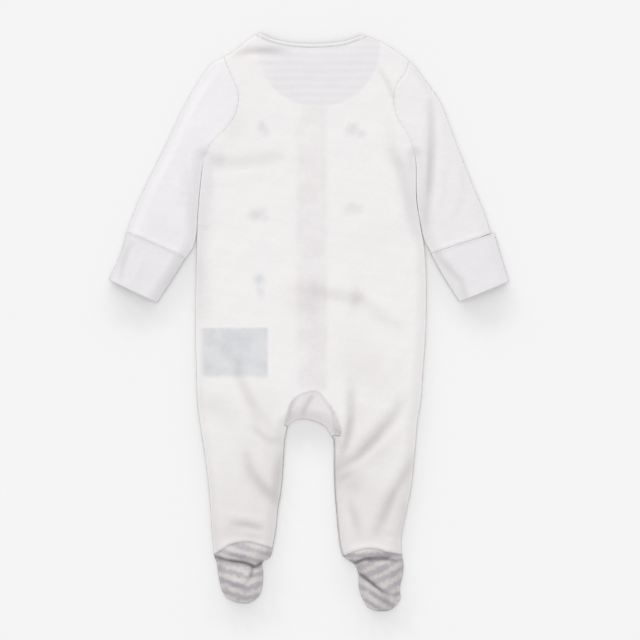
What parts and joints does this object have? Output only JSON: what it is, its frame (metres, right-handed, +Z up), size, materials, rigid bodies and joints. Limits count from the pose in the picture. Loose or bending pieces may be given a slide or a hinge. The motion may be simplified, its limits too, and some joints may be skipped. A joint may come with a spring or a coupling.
{
  "type": "footed baby sleepsuit",
  "caption": "Footed baby sleepsuit of jersey, laid flat on its front: long sleeves with turned-back cuffs, crotch gusset, striped feet, snap band down the front.",
  "frame": {"origin": "on the surface that the garment lies on, under the middle of its length and width", "axes": "+Y from the feet to the neck, +X towards the wearer's right, which is the right of the picture, +Z up out of the back"},
  "size_m": [0.4, 0.578, 0.0078],
  "materials": {
    "jersey": "matt white cotton jersey",
    "cuff_cloth": "matt white cotton jersey, double",
    "striped_sole": "matt jersey, striped pale grey and violet-grey",
    "striped_facing": "matt jersey, striped white and grey",
    "pocket_cloth": "matt blue-grey jersey",
    "studs": "satin white"
  },
  "bodies": {
    "root": {"back_panel": "jersey", "placket_over": "jersey", "placket_under": "jersey", "gusset": "jersey", "neck_binding": "jersey", "neck_facing": "striped_facing", "pocket": "pocket_cloth", "front_left": "jersey", "front_right": "jersey", "sleeve_left": "jersey", "sleeve_right": "jersey", "cuff_left": "cuff_cloth", "cuff_right": "cuff_cloth", "sole_left": "striped_sole", "sole_right": "striped_sole", "foot_upper_left": "jersey", "foot_upper_right": "jersey", "snap_1": "studs", "snap_2": "studs", "snap_3": "studs", "snap_4": "studs", "snap_5": "studs", "snap_6": "studs", "snap_7": "studs", "snap_8": "studs"}
  },
  "joints": []
}
